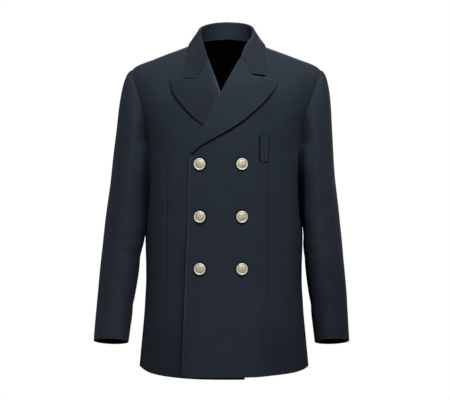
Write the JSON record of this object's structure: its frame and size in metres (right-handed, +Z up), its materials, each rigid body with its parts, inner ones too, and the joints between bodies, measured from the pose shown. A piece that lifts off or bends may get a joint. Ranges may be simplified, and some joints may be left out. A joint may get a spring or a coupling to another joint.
{
  "type": "double-breasted dress jacket",
  "caption": "Dark navy double-breasted uniform jacket with peak lapels, a folded collar, a badge tab on the chest and domed metal buttons, hanging as it is worn with no wearer.",
  "frame": {"origin": "in the middle of the neck opening, level with the neck ends of the shoulder seams, where the wearer's shoulders hold the jacket up", "axes": "+Z is up along the hanging jacket, the jacket faces -Y, and the wearer's left is at +X"},
  "size_m": [0.602, 0.2845, 0.8465],
  "materials": {
    "navy_serge": "close-woven dark navy wool serge, pressed, with a very slight sheen",
    "nickel": "pale nickel with a warm tarnished centre"
  },
  "bodies": {
    "root": {"front_left": "navy_serge", "front_right": "navy_serge", "side_panel_left": "navy_serge", "side_panel_right": "navy_serge", "back_left": "navy_serge", "back_right": "navy_serge", "top_sleeve_left": "navy_serge", "top_sleeve_right": "navy_serge", "under_sleeve_left": "navy_serge", "under_sleeve_right": "navy_serge", "collar": "navy_serge", "lapel_left": "navy_serge", "lapel_right": "navy_serge", "badge_tab": "navy_serge", "button_1": "nickel", "button_2": "nickel", "button_3": "nickel", "button_4": "nickel", "button_5": "nickel", "button_6": "nickel"}
  },
  "joints": []
}
